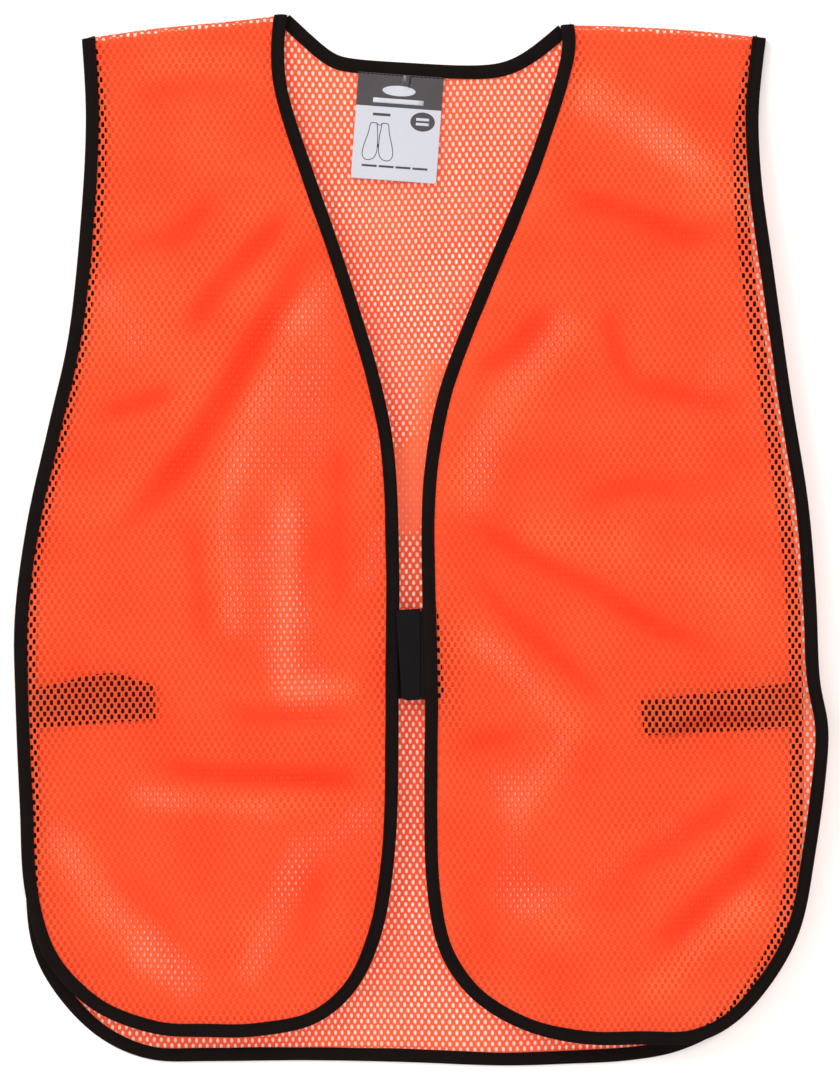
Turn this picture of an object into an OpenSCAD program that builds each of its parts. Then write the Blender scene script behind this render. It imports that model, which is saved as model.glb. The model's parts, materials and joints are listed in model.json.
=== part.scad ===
// High visibility vest of open mesh, laid flat and face up, with its two fronts over its back.
// Frame: X to the viewer's right, Y from the hem to the shoulders, Z up from the surface it lies on.
// The origin is under the middle of the vest. Left and right are the viewer's, looking down on it.

/* [Fabric] */
// Thickness of the mesh fabric
mesh_t = 0.6; // [0.4:0.1:0.8]
// Finished width of the binding tape along the edges
binding_w = 8; // [6:0.5:9]
// Thickness of the binding, folded round the edge of the mesh
binding_t = 1.8; // [1.6:0.1:2]
// Depth of the folds at the shoulders, seen from above
shoulder_w = 1.5; // [1:0.1:2]

/* [Layers] */
// Clear height between the back's binding and the left front's binding
body_gap = 7; // [6.5:0.1:8]
// Gap between pieces that rest on each other but move apart
rest_gap = 0.1; // [0.05:0.05:0.15]
// Gap between the two sides of a fold in a front
fold_gap = 0.3; // [0.2:0.1:0.5]

/* [Side straps] */
// Width of the elastic side straps
strap_w = 20; // [15:1:25]
// Thickness of the elastic
strap_t = 1; // [0.8:0.1:1.2]
// Length of each leg of the left strap, from its sewn end to its fold
left_strap_leg = 73; // [60:1:75]
// Length of each leg of the right strap
right_strap_leg = 92; // [80:1:93]

/* [Closure] */
// Width of the hook tape and of the loop tape
tape_w = 26; // [24:1:28]
// Length of the loop tape
loop_len = 52; // [48:1:55]
// Length of the hook tape
hook_len = 50; // [46:1:52]
// Thickness of either tape
tape_t = 1.2; // [1:0.1:1.4]

/* [Label] */
// Width of the neck label
label_w = 49; // [40:1:52]
// Height of the neck label
label_h = 61; // [50:1:65]
// Thickness of the neck label
label_t = 0.3; // [0.2:0.1:0.3]

/* [Hidden] */
$fn = 48;

orange = [1, 0.32, 0.16];
black = [0.09, 0.08, 0.08];
white = [0.9, 0.91, 0.94];

// Points on each curve between two control points
curve_steps = 6;
// Far enough to pass the vest's edges on every side
beyond = 400;

// Outer edge of the back, from the left shoulder's tip down, along the hem and up the right side
back_points = [
    [-194, 287], [-188, 245], [-188.5, 200], [-197, 124], [-208, 70], [-218, 25], [-227, -25],
    [-228, -80], [-226, -140], [-226.5, -195], [-222.5, -234], [-208, -262], [-184, -286],
    [-155, -298.5], [-120, -299.5], [-65, -299], [-10, -300], [45, -302], [85, -301],
    [120, -299], [150, -293], [177, -278], [199, -250], [212, -218], [218.5, -175],
    [219.5, -130], [218.5, -60], [214, 0], [203, 77], [193, 140], [187.5, 195], [188, 240],
    [198, 287.5]
];
// Neckline of the back, from the right neck point to the left one
neck_points = [
    [80, 295], [63, 281], [48, 273], [28, 271], [-6, 272.5], [-39, 275], [-52, 279.5], [-76, 301]
];
// Left front: from the shoulder's tip down the side, round the hem and up to the neck point
left_points = [
    [-194, 287], [-191.5, 240], [-194, 185], [-201, 117], [-213, 63], [-225, 9], [-232, -45],
    [-231.5, -95], [-229, -155], [-226.5, -200], [-215, -240], [-188, -269], [-153, -283],
    [-122, -285], [-92, -284.5], [-59, -277], [-35, -255.5], [-20.5, -220], [-14, -172],
    [-12.5, -120], [-12.5, -65], [-12, -20], [-14.5, 45], [-23, 91], [-38.5, 143], [-49, 175],
    [-63, 215], [-75.5, 254], [-78, 280], [-76, 301]
];
// Right front: from the neck point down the front edge, round the hem and up the side
right_points = [
    [80, 295], [81, 280], [74.5, 254], [58, 205], [31, 139], [11, 86], [2.5, 42], [0.5, 5],
    [1, -35], [2.5, -90], [2, -140], [3, -193], [9, -231], [22, -255], [40, -271], [65, -283],
    [95, -289], [127, -289], [157, -288], [182, -275], [204, -249], [218, -220], [225.5, -180],
    [231, -140], [233, -108], [228, -80], [226, -35], [221.5, 20], [211.5, 83], [201, 158],
    [195, 203], [193.5, 245], [198, 287.5]
];
// Folds at the shoulders, each from right to left
left_shoulder_points = [[-76, 301], [-110, 297], [-152, 293], [-194, 287]];
right_shoulder_points = [[198, 287.5], [160, 291.5], [120, 294], [80, 295]];
// Lines about which the fronts fold open, from the neck to the hem
left_fold = [[-76, 262], [-146, -284]];
right_fold = [[75, 262], [110, -284]];

// Heights of the undersides of the bindings, and of the mesh inside them
fold_t = (binding_t - mesh_t) / 2;
left_z = binding_t + body_gap;
right_z = left_z + binding_t + rest_gap + tape_t;
mesh_top = fold_t + mesh_t;
// Distance that the turns of the tape over the shoulders keep from the tape's own edges
turn_inset = 0.5;
// Distance that a row of stitches keeps from what crosses it
thread_gap = 0.5;

// Places of the folds of the side straps, where each strap doubles back
left_strap_at = [-150, -92];
right_strap_at = [126, -103];
left_strap_tilt = 3;
right_strap_tilt = 4;

// Middle and tilt of the closure tapes, and the line where the loop tape's tab begins
loop_at = [0.7, -66];
loop_tilt = 3.9;
hook_at = [-5.5, -66.5];
tab_x = 0.2;
// Strip of the hook tape, at its left end, that is sewn under the left front's binding
hook_sewn_w = 7.5;

// Middle and tilt of the neck label
label_at = [-13.3, 235.2];
label_tilt = -4.2;

// Thread: width and height of a row of stitches, and its distance from the tape's inner edge
thread_w = 0.6;
thread_t = 0.2;
stitch_inset = 2;

// Point on a smooth curve through b and c, with a and d as their neighbours
function between(a, b, c, d, t) =
    b + 0.5 * t * (c - a + t * (2 * a - 5 * b + 4 * c - d + t * (3 * (b - c) + d - a)));

// Smooth open curve through a list of points
function curve(p) = [
    for (i = [0 : len(p) - 2])
        for (s = [0 : curve_steps - 1])
            between(p[max(i - 1, 0)], p[i], p[i + 1], p[min(i + 2, len(p) - 1)], s / curve_steps),
    p[len(p) - 1]
];

function unit(v) = v / norm(v);
function turned_left(v) = [-v.y, v.x];
function reversed(p) = [for (i = [len(p) - 1 : -1 : 0]) p[i]];

// The curve moved sideways, to the left of its direction, which is into the fabric
function shifted(p, d) = [
    for (i = [0 : len(p) - 1])
        p[i] + d * turned_left(unit(p[min(i + 1, len(p) - 1)] - p[max(i - 1, 0)]))
];

// The curve carried on in a straight line at both ends
function extended(p, d) =
    let (last = len(p) - 1)
    concat([p[0] + d * unit(p[0] - p[1])], p, [p[last] + d * unit(p[last] - p[last - 1])]);

// Everything on one side of a fold line: side is 1 for its right and -1 for its left
function beside(fold, side, gap) =
    let (down = unit(fold[1] - fold[0]), out = side * turned_left(down))
    let (top = fold[0] - 100 * down + gap * out, low = fold[1] + 100 * down + gap * out)
    [top, low, low + beyond * out, top + beyond * out];

back_edge = curve(back_points);
neck_edge = curve(neck_points);
left_edge = curve(left_points);
right_edge = curve(right_points);
left_shoulder = curve(left_shoulder_points);
right_shoulder = curve(right_shoulder_points);

// Strip along a curve, from one distance inside it to another
module strip(edge, from, to) {
    polygon(concat(shifted(edge, from), reversed(shifted(edge, to))));
}

// A row of stitches along the inner edge of a binding
module stitch_row(edge) {
    strip(edge, binding_w - stitch_inset - thread_w, binding_w - stitch_inset);
}

// A panel's outline, trimmed at its bound edges and at its folds over the shoulders
module panel_outline(outline, bound_edges, folds) {
    difference() {
        polygon(outline);
        for (edge = bound_edges) strip(edge, -1, fold_t);
        for (edge = folds) strip(extended(edge, binding_w), -binding_w, shoulder_w);
    }
}

module back_outline() {
    panel_outline(concat(back_edge, right_shoulder, neck_edge, left_shoulder),
                  [back_edge, neck_edge], [left_shoulder, right_shoulder]);
}

module left_outline() {
    panel_outline(concat(left_edge, left_shoulder), [left_edge], [left_shoulder]);
}

module right_outline() {
    panel_outline(concat(right_edge, right_shoulder), [right_edge], [right_shoulder]);
}

// Flat piece of mesh inside a binding whose underside is at height z
module mesh_sheet(z) {
    translate([0, 0, z + fold_t]) linear_extrude(mesh_t) children();
}

// Binding tape folded round an edge: the first child is the tape, the second is the mesh in it
module folded_tape(z) {
    difference() {
        translate([0, 0, z]) linear_extrude(binding_t) children(0);
        mesh_sheet(z) children(1);
    }
}

// Row of thread on a surface at height z
module thread(z) {
    translate([0, 0, z]) linear_extrude(thread_t) children();
}

// The part of a front on one side of its fold
module beside_fold(fold, side, gap = fold_gap / 2) {
    intersection() {
        children();
        polygon(beside(fold, side, gap));
    }
}

// Where the tape turns over the shoulder, from the back's level up into the front's tape
module shoulder_turns(z, shoulder, edge) {
    translate([0, 0, binding_t]) linear_extrude(z - binding_t + fold_t / 2) intersection() {
        strip(shoulder, turn_inset, turn_inset + shoulder_w);
        strip(edge, turn_inset, binding_w - turn_inset);
    }
}

module back_panel() {
    color(orange) mesh_sheet(0) back_outline();
}

module back_binding() {
    color(black) folded_tape(0) {
        strip(back_edge, 0, binding_w);
        back_outline();
    }
}

module neck_binding() {
    color(black) folded_tape(0) {
        strip(neck_edge, 0, binding_w);
        back_outline();
    }
}

module left_side_panel() {
    color(orange) mesh_sheet(left_z) beside_fold(left_fold, -1) left_outline();
}

module left_side_binding() {
    color(black) {
        folded_tape(left_z) {
            beside_fold(left_fold, -1) strip(left_edge, 0, binding_w);
            left_outline();
        }
        shoulder_turns(left_z, left_shoulder, left_edge);
    }
}

module left_front_panel() {
    color(orange) mesh_sheet(left_z) beside_fold(left_fold, 1) left_outline();
}

module left_front_binding() {
    color(black) folded_tape(left_z) {
        beside_fold(left_fold, 1) strip(left_edge, 0, binding_w);
        left_outline();
    }
}

module right_side_panel() {
    color(orange) mesh_sheet(right_z) beside_fold(right_fold, 1) right_outline();
}

module right_side_binding() {
    color(black) {
        folded_tape(right_z) {
            beside_fold(right_fold, 1) strip(right_edge, 0, binding_w);
            right_outline();
        }
        shoulder_turns(right_z, right_shoulder, right_edge);
    }
}

module right_front_panel() {
    color(orange) mesh_sheet(right_z) beside_fold(right_fold, -1) right_outline();
}

module right_front_binding() {
    color(black) folded_tape(right_z) {
        beside_fold(right_fold, -1) strip(right_edge, 0, binding_w);
        right_outline();
    }
}

// Mesh that turns over a shoulder from the back to a front, between the bindings at its ends
module shoulder_fold(z, shoulder, front_edge) {
    color(orange) translate([0, 0, fold_t]) linear_extrude(z + mesh_t) {
        difference() {
            strip(shoulder, 0, shoulder_w);
            strip(back_edge, -binding_w, binding_w);
            strip(neck_edge, -binding_w, binding_w);
            strip(front_edge, -binding_w, binding_w);
        }
    }
}

module left_shoulder_fold() {
    shoulder_fold(left_z, left_shoulder, left_edge);
}

module right_shoulder_fold() {
    shoulder_fold(right_z, right_shoulder, right_edge);
}

// Elastic strap doubled back on itself: its fold is at the origin and its legs run along -X
module side_strap(leg, top_z) {
    h = top_z - binding_t;
    r = h / 2;
    color(black) translate([0, 0, binding_t]) rotate([90, 0, 0])
        linear_extrude(strap_w, center = true) {
            difference() {
                strap_profile(leg, h, r, 0);
                strap_profile(leg + 1, h, r, strap_t);
            }
        }
}

// Side view of a doubled strap, or with an inset of the space inside it
module strap_profile(leg, h, r, inset) {
    translate([-leg, inset]) square([leg - r, h - 2 * inset]);
    translate([-r, r]) circle(r - inset);
}

// Puts a strap drawn about the origin in its place on the left
module at_left_strap() {
    translate(left_strap_at) rotate(left_strap_tilt) children();
}

// Puts a strap drawn about the origin in its place on the right
module at_right_strap() {
    translate(right_strap_at) rotate(right_strap_tilt) mirror([1, 0, 0]) children();
}

module left_side_strap() {
    at_left_strap() side_strap(left_strap_leg, left_z);
}

module right_side_strap() {
    at_right_strap() side_strap(right_strap_leg, right_z);
}

// Hook tape, sewn by one end under the left front's binding, with its hooks raised beside it
module hook_tape() {
    color(black) translate([hook_at.x - tape_w / 2, hook_at.y - hook_len / 2, left_z - tape_t]) {
        cube([tape_w, hook_len, tape_t]);
        translate([hook_sewn_w, 0, tape_t]) cube([tape_w - hook_sewn_w, hook_len, binding_t]);
    }
}

module loop_tape_outline() {
    translate(loop_at) rotate(loop_tilt) square([tape_w, loop_len], center = true);
}

// The half of the loop tape sewn under the right front
module loop_tape_base() {
    color(black) translate([0, 0, right_z - tape_t]) linear_extrude(tape_t) intersection() {
        loop_tape_outline();
        translate([tab_x + fold_gap / 2, -beyond]) square([beyond, 2 * beyond]);
    }
}

// The free half of the loop tape, which lies on the hook tape and peels off it
module loop_tape_tab() {
    color(black) translate([0, 0, right_z - tape_t]) linear_extrude(tape_t) intersection() {
        loop_tape_outline();
        translate([tab_x - fold_gap / 2 - beyond, -beyond]) square([beyond, 2 * beyond]);
    }
}

// Everything on the label is drawn from the middle of its top edge
module on_label() {
    translate([label_at.x, label_at.y, binding_t + rest_gap]) rotate(label_tilt)
        translate([0, label_h / 2, 0]) children();
}

module neck_label() {
    color(white) on_label() translate([-label_w / 2, -label_h, 0]) cube([label_w, label_h, label_t]);
}

// Area that a strap covers, with some room around it
module strap_cover(leg) {
    translate([-leg - thread_gap, -strap_w / 2 - thread_gap])
        square([leg + thread_gap, strap_w + 2 * thread_gap]);
}

// Stitches along the back's binding, which stop at the straps and at the turns of the shoulders
module back_stitching() {
    color(black) thread(binding_t) difference() {
        stitch_row(back_edge);
        at_left_strap() strap_cover(left_strap_leg);
        at_right_strap() strap_cover(right_strap_leg);
        for (edge = [left_shoulder, right_shoulder])
            strip(extended(edge, binding_w), -binding_w, turn_inset + shoulder_w + thread_gap);
    }
}

module neck_stitching() {
    color(black) thread(binding_t) stitch_row(neck_edge);
}

module left_side_stitching() {
    color(black) thread(left_z + binding_t)
        beside_fold(left_fold, -1, stitch_inset) stitch_row(left_edge);
}

module left_front_stitching() {
    color(black) thread(left_z + binding_t)
        beside_fold(left_fold, 1, stitch_inset) stitch_row(left_edge);
}

module right_side_stitching() {
    color(black) thread(right_z + binding_t)
        beside_fold(right_fold, 1, stitch_inset) stitch_row(right_edge);
}

module right_front_stitching() {
    color(black) thread(right_z + binding_t)
        beside_fold(right_fold, -1, stitch_inset) stitch_row(right_edge);
}

// Two rows of thread across a strap, over the end that is sewn to the back's binding
module strap_rows(leg) {
    for (x = [2, 6])
        translate([x - leg, -strap_w / 2 + 1]) square([thread_w, strap_w - 2]);
}

module strap_stitching() {
    color(black) thread(binding_t + strap_t) {
        at_left_strap() strap_rows(left_strap_leg);
        at_right_strap() strap_rows(right_strap_leg);
    }
}

// Rows over the sewn end of the hook tape, on the left front's binding
module hook_stitching() {
    color(black) thread(left_z + binding_t)
        for (x = [1.2, 3.5])
            translate([hook_at.x - tape_w / 2 + x, hook_at.y - hook_len / 2 + 1])
                square([thread_w, hook_len - 2]);
}

// Row through the right front's mesh, near the hidden end of the loop tape
module loop_stitching() {
    color(black) thread(right_z + mesh_top) translate(loop_at) rotate(loop_tilt)
        translate([tape_w / 2 - stitch_inset, 1 - loop_len / 2]) square([thread_w, loop_len - 2]);
}

// Row along the top of the label
module label_stitching() {
    color(black) on_label() translate([1 - label_w / 2, -stitch_inset, label_t])
        cube([label_w / 2 + 1, thread_w, thread_t]);
}

back_panel();
back_binding();
neck_binding();
left_side_panel();
left_side_binding();
left_front_panel();
left_front_binding();
right_side_panel();
right_side_binding();
right_front_panel();
right_front_binding();
left_shoulder_fold();
right_shoulder_fold();
left_side_strap();
right_side_strap();
hook_tape();
loop_tape_base();
loop_tape_tab();
neck_label();
back_stitching();
neck_stitching();
left_side_stitching();
left_front_stitching();
right_side_stitching();
right_front_stitching();
strap_stitching();
hook_stitching();
loop_stitching();
label_stitching();
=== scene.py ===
"""High visibility vest of open mesh, laid flat and face up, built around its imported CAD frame.

The mesh body is one cloth folded at the shoulders. Its back lies on the floor, and each front lies
over it and turns under at the shoulder. Left and right are the viewer's.
"""

import json
import math

import bpy
import numpy as np
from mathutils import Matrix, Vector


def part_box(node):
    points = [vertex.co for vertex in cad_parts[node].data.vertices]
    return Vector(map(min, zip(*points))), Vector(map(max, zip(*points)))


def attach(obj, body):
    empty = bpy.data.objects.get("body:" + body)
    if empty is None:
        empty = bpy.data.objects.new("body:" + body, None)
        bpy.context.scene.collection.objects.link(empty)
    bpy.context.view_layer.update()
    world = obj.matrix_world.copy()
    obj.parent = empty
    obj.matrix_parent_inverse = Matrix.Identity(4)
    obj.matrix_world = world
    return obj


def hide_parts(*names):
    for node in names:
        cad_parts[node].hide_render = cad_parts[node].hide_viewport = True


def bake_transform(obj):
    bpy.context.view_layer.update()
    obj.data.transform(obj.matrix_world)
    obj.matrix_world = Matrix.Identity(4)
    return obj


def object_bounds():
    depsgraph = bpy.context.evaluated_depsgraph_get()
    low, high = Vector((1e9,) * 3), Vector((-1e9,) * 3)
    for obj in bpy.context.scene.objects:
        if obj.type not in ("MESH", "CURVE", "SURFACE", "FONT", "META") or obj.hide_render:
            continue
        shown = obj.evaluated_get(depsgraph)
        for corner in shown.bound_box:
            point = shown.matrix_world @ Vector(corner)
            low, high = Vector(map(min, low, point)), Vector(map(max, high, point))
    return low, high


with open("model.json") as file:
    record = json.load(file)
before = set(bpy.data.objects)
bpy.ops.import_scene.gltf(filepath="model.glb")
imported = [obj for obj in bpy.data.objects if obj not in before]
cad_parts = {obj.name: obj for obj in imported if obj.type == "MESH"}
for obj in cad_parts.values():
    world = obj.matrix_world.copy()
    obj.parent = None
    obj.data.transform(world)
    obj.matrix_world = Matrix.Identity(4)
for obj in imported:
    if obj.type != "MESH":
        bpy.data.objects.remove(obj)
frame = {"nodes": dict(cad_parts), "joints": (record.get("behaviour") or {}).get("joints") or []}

cad_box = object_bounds()
MM = 0.001

# The open mesh: holes stand in staggered rows, and the cloth ends a little inside the binding
PITCH = 3.94 * MM
ROW = 3.2 * MM
HOLE_W = 1.54 * MM
HOLE_H = 2.78 * MM
HOLE_SIDE = 0.55 * MM
HIDDEN_EDGE = 1.2 * MM
GRAIN = math.radians(0.5)
FRONT_SHRINK = 0.9978

# The binding tape: how far it stands out from the cloth's edge, the step of its sweep, and how far
# in its seam is
EDGE_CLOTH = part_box("back_panel")[0].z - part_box("back_binding")[0].z
TAPE_STEP = 3 * MM
STITCH_IN = 5.7 * MM

# Radius of the turn of the cloth over a shoulder, step of the height fields, and side of the light
TURN = 1.6 * MM
GRID = 3 * MM
LIGHT_FROM = np.array([-0.8, 0.6])


def smooth(low, high, value):
    """0 below low, 1 above high, and an S curve between them."""
    t = np.clip((value - low) / (high - low), 0, 1)
    return t * t * (3 - 2 * t)


# -------- outlines, from the CAD nodes


def path_length(points):
    """How far along a line each of its points is."""
    return np.concatenate([[0], np.cumsum(np.linalg.norm(np.diff(points, axis=0), axis=1))])


def top_outline(node):
    """Outline of a CAD node's top face, counter-clockwise, as an array of (x, y)."""
    mesh = frame["nodes"][node].data
    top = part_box(node)[1].z
    edges = set()
    for face in mesh.polygons:
        corners = [mesh.vertices[i].co for i in face.vertices]
        if min(c.z for c in corners) > top - 0.01 * MM:
            keys = [(round(c.x, 6), round(c.y, 6)) for c in corners]
            edges.update(zip(keys, keys[1:] + keys[:1]))
    following = {a: b for a, b in edges if (b, a) not in edges}
    loop = [min(following)]
    while following[loop[-1]] != loop[0]:
        loop.append(following[loop[-1]])
    return np.array(loop)


def opened(loop):
    """The loop as an open line, without its longest edge, which is the straight cut at a fold."""
    lengths = np.linalg.norm(np.roll(loop, -1, 0) - loop, axis=1)
    return np.roll(loop, -1 - int(lengths.argmax()), 0)


def runs(loop):
    """The stretches of an outline between its sharp corners, longest first."""
    ahead = np.roll(loop, -1, 0) - loop
    angle = np.arctan2(ahead[:, 1], ahead[:, 0])
    turn = (angle - np.roll(angle, 1) + math.pi) % math.tau - math.pi
    corners = np.flatnonzero(np.abs(turn) > math.radians(35))
    stretches = []
    for a, b in zip(corners, np.roll(corners, -1)):
        count = (b - a) % len(loop) + 1
        stretches.append(np.roll(loop, -a, 0)[:count])
    return sorted(stretches, key=lambda s: -path_length(s)[-1])


def resampled(line, step):
    """The line with evenly spaced points, and its corners eased."""
    along = path_length(line)
    where = np.linspace(0, along[-1], max(3, int(round(along[-1] / step)) + 1))
    out = np.stack([np.interp(where, along, line[:, k]) for k in (0, 1)], axis=1)
    for _ in range(3):
        out[1:-1] = (out[:-2] + 2 * out[1:-1] + out[2:]) / 4
    return out


def unit(vectors):
    return vectors / np.linalg.norm(vectors, axis=1)[:, None]


def normals(line):
    """Unit normals to the left of the line, which point into the cloth."""
    ahead = unit(np.gradient(line, axis=0))
    return np.stack([-ahead[:, 1], ahead[:, 0]], axis=1)


def area_of(loop):
    x, y = loop.T
    return float(abs(np.dot(x, np.roll(y, -1)) - np.dot(y, np.roll(x, -1))) / 2)


def inside(loop, x, y):
    """True for the points within a closed outline."""
    hit = np.zeros(x.shape, bool)
    for (ax, ay), (bx, by) in zip(loop, np.roll(loop, -1, 0)):
        if ay != by:
            crosses = (ay > y) != (by > y)
            hit ^= crosses & (x < (bx - ax) * (y - ay) / (by - ay) + ax)
    return hit


def middle_z(node):
    low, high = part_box(node)
    return (low.z + high.z) / 2


BACK_OUTLINE = top_outline("back_panel")
BACK_RUNS = runs(BACK_OUTLINE)
BACK_LEVEL = middle_z("back_panel")


def front_facts(side):
    """Outline, edges, level and fold of one front."""
    panels = [top_outline(side + "_side_panel"), top_outline(side + "_front_panel")]
    outline = np.concatenate([opened(p) for p in panels])
    bound, shoulder = runs(outline)
    joint = [j for j in frame["joints"] if j["name"] == side + "_front_opens"][0]
    return {
        "side": side,
        "outline": outline,
        "bound": bound,
        "shoulder": shoulder[shoulder[:, 0].argsort()],
        "level": middle_z(side + "_front_panel"),
        "joint": joint,
    }


LEFT = front_facts("left")
RIGHT = front_facts("right")


# -------- how the cloth lies


def waves(x, y, seed, length, count=7):
    """Smooth uneven ripple from -1 to 1, the same each run, about this long from crest to crest."""
    rng = np.random.RandomState(seed)
    total = np.zeros_like(x)
    for _ in range(count):
        turn = rng.uniform(0, math.tau)
        size = length * rng.uniform(0.7, 1.6)
        phase = rng.uniform(0, math.tau)
        total += np.sin((x * math.cos(turn) + y * math.sin(turn)) * math.tau / size + phase)
    return total / math.sqrt(count)


def nearest(x, y, points):
    """Distance to a line of points, signed by its side, and how far along it the nearest point is."""
    points = np.array(points, float) * MM
    starts = path_length(points)
    best = np.full(x.shape, np.inf)
    signed = np.zeros_like(x)
    along = np.zeros_like(x)
    for a, b, start, span in zip(points, points[1:], starts, np.diff(starts)):
        ahead = (b - a) / span
        t = np.clip((x - a[0]) * ahead[0] + (y - a[1]) * ahead[1], 0, span)
        dx = x - a[0] - ahead[0] * t
        dy = y - a[1] - ahead[1] * t
        d = np.hypot(dx, dy)
        side = np.sign(ahead[0] * dy - ahead[1] * dx)
        near = d < best
        best = np.where(near, d, best)
        signed = np.where(near, d * side, signed)
        along = np.where(near, (start + t) / starts[-1], along)
    return best, signed, along


def crease(x, y, points, width, height):
    """A step in the cloth along a line, whose steep side faces away from the light."""
    _, signed, along = nearest(x, y, points)
    ahead = np.array(points[-1], float) - np.array(points[0], float)
    facing = np.sign(-ahead[1] * LIGHT_FROM[0] + ahead[0] * LIGHT_FROM[1])
    across = signed / (width * MM)
    fade = smooth(0, 0.3, along) * smooth(0, 0.3, 1 - along)
    return facing * height * MM * across * np.exp(0.5 - across * across / 2) * fade


def crease_shade(x, y, points, width, height):
    """Painted shade along a crease: 1 along the steep part of the crease, in proportion to its height,
    and 0 away from it.
    """
    distance, _, along = nearest(x, y, points)
    fade = smooth(0, 0.3, along) * smooth(0, 0.3, 1 - along)
    return height / 3 * np.exp(-((distance / (1.1 * width * MM)) ** 2)) * fade


def puff(x, y, points, width, height):
    """A soft swelling of the cloth along a line, or a hollow where the height is below 0."""
    distance, _, _ = nearest(x, y, points)
    return height * MM * np.exp(-((distance / (width * MM)) ** 2))


# Each crease and puff is (its line, width, height), in mm
LEFT_CREASES = [
    ([(-190, 70), (-160, 78), (-135, 88)], 6, 1.6),
    ([(-178, 170), (-145, 170), (-122, 190), (-115, 210)], 8, 1.4),
    ([(-170, 255), (-125, 260), (-92, 256)], 7, 1.3),
    ([(-186, -12), (-132, 50), (-110, 86), (-65, 165), (-48, 182)], 8, 2.8),
    ([(-142, 108), (-118, 142), (-88, 174), (-65, 198)], 7, 2.2),
    ([(-46, 75), (-49, -10), (-46, -65)], 9, 1.5),
    ([(-70, 40), (-63, 0), (-70, -50)], 7, 1.4),
    ([(-132, 15), (-126, -35), (-123, -62)], 6, 1.2),
    ([(-126, -86), (-97, -101), (-25, -101)], 7, 1.8),
    ([(-165, -128), (-115, -135), (-22, -138)], 7, 2.8),
    ([(-188, -180), (-150, -215), (-125, -245)], 9, 1.3),
    ([(-60, -178), (-68, -240)], 9, 1.4),
]
LEFT_PUFFS = [
    ([(-175, 125), (-150, 118)], 24, 1.6),
    ([(-70, 120), (-97, 60), (-115, 10), (-108, -45)], 12, 1.8),
    ([(-75, 25), (-77, -60), (-74, -86), (-42, -86)], 9, 2.0),
    ([(-200, -180), (-178, -215), (-154, -245)], 13, 2.2),
    ([(-97, -247), (-95, -225)], 12, 1.6),
    ([(-160, -150), (-40, -155)], 9, 1.2),
    ([(-150, 272), (-110, 274)], 12, 1.0),
]
RIGHT_CREASES = [
    ([(72, 197), (108, 190), (154, 174), (183, 176)], 8, 2.8),
    ([(22, 92), (52, 107), (80, 138)], 7, 2.0),
    ([(103, 136), (114, 100), (130, 88)], 7, 1.8),
    ([(114, 92), (160, 79), (190, 73)], 7, 1.8),
    ([(80, 22), (126, 30), (184, 28)], 8, 1.6),
    ([(16, 22), (57, -7), (103, -30), (137, -52), (183, -70)], 7, 2.8),
    ([(14, -7), (46, -41), (80, -69), (103, -92), (125, -104)], 7, 2.2),
    ([(16, -115), (64, -112)], 7, 1.0),
    ([(126, -241), (171, -200), (211, -160)], 9, 2.6),
    ([(103, -195), (148, -172), (194, -138)], 9, 1.8),
    ([(16, -195), (46, -236)], 8, 1.4),
    ([(130, -112), (170, -102), (214, -105)], 5, 1.2),
]
RIGHT_PUFFS = [
    ([(98, 256), (126, 238), (176, 200)], 15, 2.8),
    ([(85, 113), (57, 79), (34, 50), (28, 34)], 13, 2.0),
    ([(68, 0), (114, -6)], 12, 1.6),
    ([(28, -58), (68, -86), (88, -109), (68, -143), (57, -160)], 11, 2.0),
    ([(68, -212), (80, -224)], 11, 1.6),
    ([(191, -212), (160, -235), (137, -258)], 10, 2.0),
    ([(150, -20), (190, -30)], 14, 1.2),
]
BACK_CREASES = [
    ([(-60, 150), (0, 120), (20, 60)], 9, 0.5),
    ([(-20, -190), (0, -240), (-20, -280)], 8, 0.5),
    ([(60, 220), (30, 170), (-10, 160)], 9, 0.5),
]
# Where a front's holes stand over the back's holes: (line, width, share of full alignment)
LEFT_OPEN = [
    ([(-66, 112), (-69, 80), (-78, 50), (-82, 20), (-86, -12), (-84, -45), (-68, -78)], 21, 0.5),
    ([(-55, 150), (-80, 108), (-100, 68), (-113, 28), (-113, -15), (-108, -52)], 9, 0.35),
    ([(-76, 10), (-76, -55), (-80, -84), (-45, -86)], 9, 0.4),
    ([(-160, -148), (-91, -156)], 9, 0.45),
    ([(-33, -159), (-68, -177), (-87, -219), (-100, -249)], 11, 0.45),
    ([(-208, -168), (-192, -200), (-160, -235), (-137, -255)], 13, 0.4),
    ([(-158, -236), (-148, -240)], 14, 0.35),
    ([(-175, 135), (-158, 95)], 15, 0.25),
    ([(-60, 235), (-95, 215)], 14, 0.15),
    ([(-22, 62), (-28, 36)], 8, 0.42),
    ([(-25, 2), (-34, -24)], 9, 0.42),
]
RIGHT_OPEN = [
    ([(98, 252), (160, 213)], 13, 0.6),
    ([(80, 118), (50, 85), (34, 52), (28, 22)], 14, 0.5),
    ([(34, -60), (60, -80), (84, -109), (76, -132), (57, -146)], 12, 0.4),
    ([(46, -140), (56, -165), (48, -203)], 15, 0.3),
    ([(60, -212), (108, -189), (140, -165)], 12, 0.32),
    ([(184, -209), (156, -233)], 11, 0.42),
    ([(176, 120), (150, 60)], 14, 0.18),
    ([(120, 5), (170, -12)], 12, 0.22),
]
# Where the back's holes are drawn shut: (line, width, share of the hole's width)
BACK_SHUT = [
    ([(-5.5, 44), (-6.5, 34), (-7, 11)], 16, 1.0),
    ([(10, 94), (5, 76), (1, 52)], 11, 0.6),
]
CLOSURE = [(-5, -45), (-5, -88)]


def shoulder_y(front, x):
    """How far up the mesh of a front reaches at x, which is where it turns over the shoulder."""
    return np.interp(x, *front["shoulder"].T)


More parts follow.
